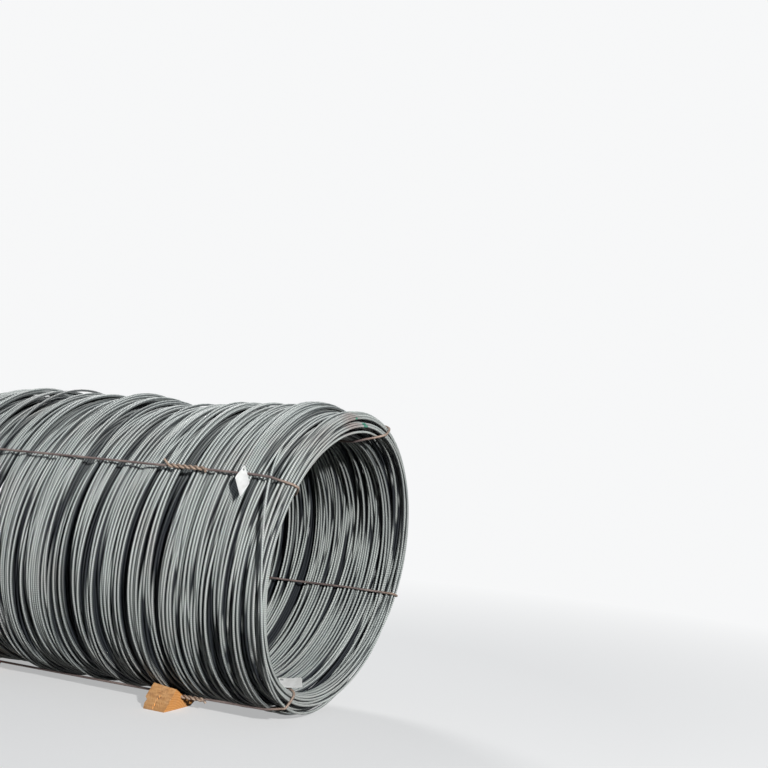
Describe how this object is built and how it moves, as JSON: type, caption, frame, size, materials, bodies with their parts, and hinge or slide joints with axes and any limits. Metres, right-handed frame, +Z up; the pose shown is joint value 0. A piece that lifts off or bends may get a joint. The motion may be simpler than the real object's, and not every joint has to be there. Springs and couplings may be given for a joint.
{
  "type": "coil of wire rod",
  "caption": "Large round coil of ribbed steel rod lying on its side, with tie wires round its wall, bare tags and wooden wedge chocks.",
  "frame": {"origin": "on the ground under the middle of the coil: the bottom centre of the part's box", "axes": "+X along the coil's axis towards the end that the tags hang at, -Y towards the side with the chocks, +Z up"},
  "size_m": [2.1425, 1.2499, 1.25],
  "materials": {
    "rod": "hot-rolled and ribbed, grey mill scale, matt",
    "tie_wire": "thin brown rust",
    "tag": "white, matt, bare",
    "chock": "rough sawn softwood, end grain lighter and more orange"
  },
  "bodies": {
    "root": {"rod_coil": "rod", "tie_wire_top": "tie_wire", "tie_wire_near_side": "tie_wire", "tie_wire_bottom": "tie_wire", "tie_wire_far_side": "tie_wire", "tag_outer": "tag", "tag_bore": "tag", "chock_front": "chock", "chock_rear": "chock"}
  },
  "joints": []
}
